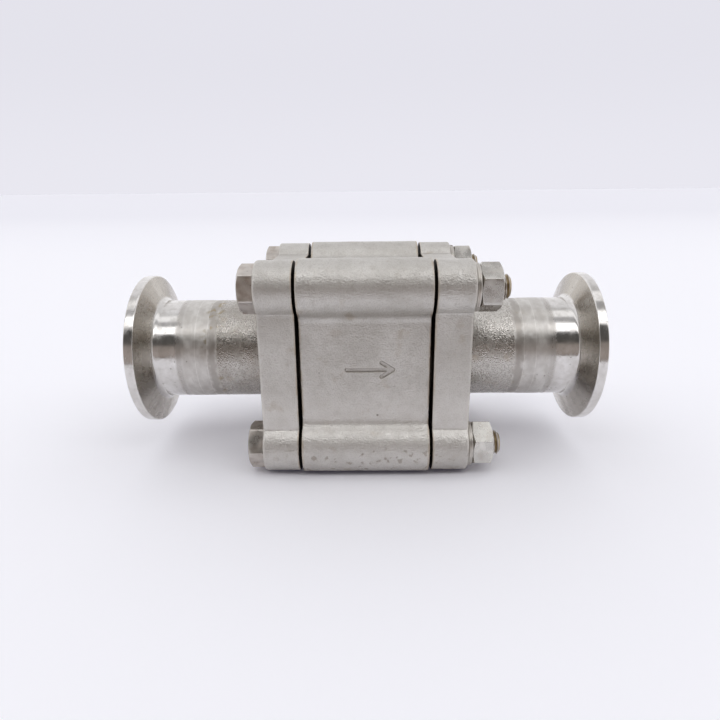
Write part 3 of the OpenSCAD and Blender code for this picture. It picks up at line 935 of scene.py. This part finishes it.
def tube_steel(name, seed, heat, polish):
    """Polished and brushed steel of a ferrule and its weld, stained beside the casting."""
    made, g = material(name)
    x, y, z = g.axes()
    along = g.math("ABSOLUTE", x)
    radius = g.reach(y, z)
    smear = g.noise(3.5, 4, stretch=(1.2, 0.6, 0.6), seed=seed + 1)
    tone = g.mix(g.fade(smear, 0.3, 0.7), POLISHED_DARK, POLISHED_LIGHT)
    satin = g.fade_mm(along, SEAM_X - 0.3, SEAM_X - 1.8)
    satin_tone, satin_rough = brushed(g, seed + 8)
    tone = g.mix(satin, tone, satin_tone)
    tone = stained(g, tone, seed + 6, heat)
    from_seam = g.math("ABSOLUTE", g.minus(along, SEAM_X * MM))
    seam = g.fade_mm(from_seam, 1.5, 0.4)
    tone = g.tint(tone, seam, 0.62, SEAM_SHADE)

    # The rim's slope is lighter and darker by turns round the axis, a painted sheen in streaks like the
    # highlights of a turned face, and it carries turning marks.
    bevel = g.window(radius, (TUBE_R + 0.7, TUBE_R + 1.6), (RIM_R - 0.5, RIM_R - 0.15))
    flat = g.add("ShaderNodeVectorMath", {0: g.place, 1: (0.0, 1.0, 1.0)}, operation="MULTIPLY").outputs[0]
    scale = g.math("DIVIDE", 1.7, radius)
    turned = g.add("ShaderNodeVectorMath", {0: flat, "Scale": scale}, operation="SCALE").outputs[0]
    sheen_streaks = g.add("ShaderNodeTexNoise", {"Vector": turned, "Scale": 1.0, "Detail": 2.0}).outputs[0]
    bevel_sheen = g.mix(g.fade(sheen_streaks, 0.36, 0.62), BEVEL_SHEEN_DARK, BEVEL_SHEEN_LIGHT)
    tone = g.tint(tone, bevel, 0.9, bevel_sheen)
    marks = g.add(
        "ShaderNodeTexNoise", {"W": g.math("DIVIDE", radius, 0.35 * MM), "Scale": 1.0, "Detail": 2.0},
        noise_dimensions="1D",
    ).outputs[0]

    cluster = g.fade(g.noise(9, 1, seed=seed + 3), 0.55, 0.65)
    pits = g.times(g.spots(1.3, 0.24, 0.35, seed + 2), cluster)
    tone = g.tint(tone, pits, 0.8, POLISHED_PIT)
    tone = g.tint(tone, g.fade(g.attribute("wear"), 0.3, 0.9), 0.45, POLISHED_WORN)
    rubbed = g.fade(g.noise(2.2, 4, seed=seed + 11, rough=0.6), 0.42, 0.68)
    tone = g.tint(tone, rubbed, 0.35, DULL_PATCH)

    rough = g.plus(g.fade(smear, 0.3, 0.75, polish, polish + 0.07), g.times(rubbed, polish))
    rough = g.blend(satin, rough, satin_rough)
    rough = g.plus(rough, g.times(seam, 0.14))
    rough = g.plus(rough, g.times(bevel, 0.10))
    lines = g.noise(0.30, 2, stretch=(1, 0.03, 0.03), seed=seed)
    height = g.times(lines, g.fade(satin, 0.0, 1.0, 0.12, 0.6))
    height = g.plus(height, g.times(marks, g.times(bevel, 1.6)))
    height = g.plus(height, g.times(g.noise(0.9, 3, seed=seed + 4), g.times(satin, 2.2)))
    height = g.minus(height, g.times(pits, 3.0))
    g.metal(tone, rough, g.bump(height, 0.014))
    return made


def fastener_steel(name, seed, tint, rough=0.24, dirt=0.4, upper_dark=0.0, stain=(0.33, 0.25, 0.19)):
    """Machined fastener steel: fine tool marks, matt handling stains, a darker tone on the upper pieces,
    dirty threads, and painted shade on the shanks in the gap.
    """
    made, g = material(name)
    x, y, z = g.axes()
    smear = g.noise(3.0, 4, seed=seed)
    tone = g.mix(g.fade(smear, 0.3, 0.7), tint, tuple(c * 1.3 for c in tint))
    tone = g.tint(tone, g.fade(g.noise(2.6, 3, seed=seed + 2), 0.45, 0.75), dirt, stain)
    # Fasteners above the flow axis are darker in tone, by the given share.
    tone = g.mix(g.fade_mm(z, -10, 10, 0.0, upper_dark), tone, UPPER_FASTENER_TONE)
    tone = g.tint(tone, g.fade(g.attribute("wear"), 0.4, 1.0), 0.3, FASTENER_WORN)

    off_y, off_z = (g.minus(g.math("ABSOLUTE", v), BOLT_OFFSET * MM) for v in (y, z))
    root = g.window(g.reach(off_y, off_z), (BOLT_R - 1.2, BOLT_R - 0.9), (BOLT_R - 0.5, BOLT_R - 0.1))
    root = g.times(root, g.fade_mm(x, NUT_LOW, NUT_HIGH))
    tone = g.tint(tone, root, 0.8, THREAD_DIRT)
    # Painted shade on the shanks in the gap and within the body, which are also rougher there.
    shaded_shank = g.fade_mm(g.math("ABSOLUTE", x), CAP_IN + 0.9, CAP_IN + 0.3)
    tone = g.mix(shaded_shank, tone, SHANK_SHADE)

    roughness = g.plus(g.fade(smear, 0.3, 0.7, rough, rough + 0.14), g.times(shaded_shank, 0.3))
    lines = g.noise(0.25, 2, stretch=(1, 0.15, 0.15), seed=seed + 1)
    g.metal(tone, roughness, g.bump(g.plus(lines, g.times(smear, 1.5)), 0.02))
    return made


def turned_steel(name, seed, tint=(0.60, 0.58, 0.56), rough=0.2):
    """Clean machined steel with fine turning marks."""
    made, g = material(name)
    lines = g.noise(0.22, 2, stretch=(1, 0.05, 0.05), seed=seed)
    smear = g.noise(4, 3, seed=seed + 1)
    tone = g.mix(g.fade(smear, 0.3, 0.7), tint, tuple(c * 1.1 for c in tint))
    g.metal(tone, g.fade(smear, 0.3, 0.7, rough, rough + 0.12), g.bump(lines, 0.012))
    return made


def plastic(name, seed, dark, light, rough):
    """Moulded or machined plastic or rubber with a faint mottle and fine tool marks."""
    made, g = material(name)
    mottle = g.noise(3, 4, seed=seed)
    fine = g.noise(0.3, 2, seed=seed + 1)
    g.surface({
        "Base Color": g.mix(g.fade(mottle, 0.3, 0.7), dark, light), "Metallic": 0.0,
        "Roughness": g.fade(fine, 0.3, 0.7, rough, rough + 0.15), "Normal": g.bump(fine, 0.02),
    })
    return made


# ------------------------------------------------------------------ the pieces

cast = {
    "body": cast_steel("body_cast_steel", 1.0, heat=0.0, dings=1.0, stub_tone=(0.45, 0.42, 0.385)),
    "inlet": cast_steel("inlet_cast_steel", 11.0, heat=0.9, dings=0.4, stub_tone=(0.40, 0.37, 0.335)),
    "outlet": cast_steel("outlet_cast_steel", 23.0, heat=0.25, dings=0.6, stub_tone=(0.57, 0.545, 0.51)),
}
tube = {
    "inlet": tube_steel("inlet_tube_steel", 5.0, heat=0.9, polish=0.11),
    "outlet": tube_steel("outlet_tube_steel", 31.0, heat=0.25, polish=0.09),
}

dress(make_centre_body(), cast["body"], nodes=["centre_body"])
dress(mirrored(make_cap("inlet_cap_casting", 3)), cast["inlet"], nodes=["inlet_cap"])
dress(make_cap("outlet_cap_casting", 8), cast["outlet"], nodes=["outlet_cap"])
for end, seed in (("inlet", 2), ("outlet", 6)):
    ferrule = on_side(make_ferrule(end + "_clamp_ferrule", seed), end)
    dress(ferrule, tube[end], nodes=[end + "_ferrule"])
    weld = on_side(make_weld(end + "_butt_weld", seed), end)
    dress(weld, tube[end], nodes=[end + "_weld_bead"])

bolt_steel = fastener_steel(
    "bolt_steel", 4.0, (0.47, 0.435, 0.40), rough=0.27, dirt=0.6, stain=(0.34, 0.265, 0.215),
)
nut_steel = fastener_steel("nut_steel", 9.0, (0.575, 0.56, 0.525), rough=0.2, dirt=0.25, upper_dark=0.4)
washer_steel = fastener_steel("washer_steel", 14.0, (0.42, 0.395, 0.36), rough=0.34, dirt=0.55)
for name, make, finish, slot, node in (
    ("hex_bolts", make_bolt, bolt_steel, "fastener_steel", "body_bolts"),
    ("hex_nuts", make_nut, nut_steel, "fastener_steel", "body_nuts"),
    ("split_washers", make_washer, washer_steel, "washer_steel", "lock_washers"),
):
    dress(join(name, [make(i) for i in range(4)]), finish, nodes=[node])

spring_wire = turned_steel("spring_wire", 3.0, rough=0.25)
spring = dress(make_spring(), spring_wire, nodes=["closing_spring"])
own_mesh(spring)

inner = (
    (turned_steel("inner_steel", 7.0), (
        "seat_holder", "poppet_disc", "poppet_stem", "guide_cage", "seal_clamp_washer", "poppet_nut",
        "snap_ring",
    )),
    (plastic("white_ptfe", 2.0, (0.78, 0.77, 0.74), (0.86, 0.85, 0.83), 0.35), (
        "inlet_body_seal", "outlet_body_seal", "disc_seal",
    )),
    (plastic("black_rubber", 6.0, (0.015, 0.015, 0.016), (0.03, 0.03, 0.03), 0.5), ("seat_o_ring",)),
    (plastic("bearing_plastic", 8.0, (0.42, 0.33, 0.20), (0.52, 0.42, 0.27), 0.4), ("guide_bush",)),
)
for finish, names in inner:
    for name in names:
        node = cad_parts[name]
        node.data.materials.clear()
        node.data.materials.append(finish)

# ------------------------------------------------------------------ floor, light and camera

# Linear colours of the table, of what the camera sees beyond it, and of the light from the lower half of the
# room and from its walls at the valve's two ends.
TABLE_NEAR = (0.97, 0.968, 1.0)
TABLE_FAR = (0.88, 0.877, 0.92)
BELOW = (0.895, 0.892, 0.945)
BACKDROP_LOW = (0.815, 0.808, 0.875)
BACKDROP_HIGH = (0.778, 0.771, 0.838)
ROOM_BELOW = (0.30, 0.26, 0.24)
WALL_LOW = (1.0, 1.0, 1.03)
WALL_HIGH = (0.85, 0.85, 0.88)


def make_floor():
    """A plain pale table that ends a little way in front of the valve and darkens softly behind it."""
    z = cad_box[0].z
    front, far = -0.235, 12
    corners = [(-far, front, z), (far, front, z), (far, far, z), (-far, far, z)]
    data = bpy.data.meshes.new("table_top")
    data.from_pydata(corners, [], [(0, 1, 2, 3)])
    floor = bpy.data.objects.new("table_top", data)
    bpy.context.scene.collection.objects.link(floor)
    made, g = material("pale_table")
    colour = g.mix(g.fade(g.axes()[1], 0.25, 1.9), TABLE_NEAR, TABLE_FAR)
    # The table also glows faintly blue, a painted light that lifts it and the shadows on it.
    g.surface({
        "Base Color": colour, "Roughness": 0.9, "Specular IOR Level": 0.0,
        "Emission Color": (0.55, 0.5, 1.0), "Emission Strength": 0.02,
    })
    data.materials.append(made)


# The studio's light by degrees over the flow axis: the front is 0, the top 90 and the back 180.
LIGHT_BANDS = [
    (0, (0.42, 0.37, 0.35)), (17, (0.34, 0.30, 0.28)), (23, (0.10, 0.095, 0.09)),
    (46, (0.09, 0.088, 0.085)), (50, (2.15, 2.15, 2.19)), (65, (2.15, 2.15, 2.19)),
    (68, (0.48, 0.48, 0.49)), (80, (0.46, 0.46, 0.47)), (83, (1.2, 1.2, 1.22)),
    (98, (1.2, 1.2, 1.22)), (101, (0.66, 0.66, 0.67)), (106, (0.70, 0.70, 0.71)),
    (112, (0.90, 0.90, 0.93)), (150, (1.05, 1.05, 1.08)), (180, (1.1, 1.1, 1.13)),
]

# From this angle on, in degrees, the bands lean over towards one end of the valve, by this share.
LEAN_FROM = 48
LEAN = 0.3


def make_light():
    """A soft studio round the valve: bands of light and shade by their angle over the flow axis."""
    world = bpy.data.worlds.new("studio")
    bpy.context.scene.world = world
    world.use_nodes = True
    g = Graph(world.node_tree, "Generated")
    x, y, z = g.axes()
    angle = g.math("DIVIDE", g.math("ARCTAN2", z, g.times(y, -1.0)), math.pi)
    above = g.math("MAXIMUM", g.minus(angle, LEAN_FROM / 180), 0.0)
    lean = g.minus(1.0, g.times(x, LEAN))
    angle = g.plus(g.math("MINIMUM", angle, LEAN_FROM / 180), g.times(above, lean))
    ramp = g.add("ShaderNodeValToRGB", {0: angle})
    stops = ramp.color_ramp.elements
    for degrees, colour in LIGHT_BANDS[1:-1]:
        stops.new(degrees / 180).color = (*colour, 1)
    stops[0].color = (*LIGHT_BANDS[0][1], 1)
    stops[len(stops) - 1].color = (*LIGHT_BANDS[-1][1], 1)
    room = g.mix(g.fade(z, 0.0, -0.12), ramp.outputs[0], ROOM_BELOW)
    sideways = g.fade(g.math("ABSOLUTE", x), 0.80, 0.93)
    wall = g.mix(g.fade(z, -0.1, 0.9), WALL_LOW, WALL_HIGH)
    lit = g.mix(sideways, room, wall)
    backdrop = g.mix(g.fade(z, 0.0, 0.2), BACKDROP_LOW, BACKDROP_HIGH)
    backdrop = g.mix(g.fade(z, -0.008, -0.03), backdrop, BELOW)
    seen = g.add("ShaderNodeLightPath").outputs["Is Camera Ray"]
    background = g.add("ShaderNodeBackground", {"Color": g.mix(seen, lit, backdrop), "Strength": 1.0})
    out = g.add("ShaderNodeOutputWorld")
    g.tree.links.new(background.outputs[0], out.inputs["Surface"])


# The camera's place in millimetres, its pitch, yaw and roll in degrees, and its lens.
CAMERA_AT = (0.27, -186.22, 53.58)
CAMERA_TURN = (-17.468, -0.646, -0.594)
CAMERA_LENS = 27.49


def make_camera():
    """The camera, a little above the valve and square to its side."""
    pitch, yaw, roll = (math.radians(a) for a in CAMERA_TURN)
    data = bpy.data.cameras.new("camera")
    data.lens = CAMERA_LENS
    data.sensor_width = 36
    data.clip_start = 0.01
    camera = bpy.data.objects.new("camera", data)
    bpy.context.scene.collection.objects.link(camera)
    forward = Vector((math.sin(yaw) * math.cos(pitch), math.cos(yaw) * math.cos(pitch), math.sin(pitch)))
    right = Vector((math.cos(yaw), -math.sin(yaw), 0))
    up = right.cross(forward)
    tilted = math.cos(roll) * right + math.sin(roll) * up
    upright = math.cos(roll) * up - math.sin(roll) * right
    turn = Matrix((tilted, upright, -forward)).transposed()
    camera.matrix_world = Matrix.Translation(Vector(CAMERA_AT) * MM) @ turn.to_4x4()
    bpy.context.scene.camera = camera


make_floor()
make_light()
make_camera()
bpy.context.scene.view_settings.view_transform = "Standard"
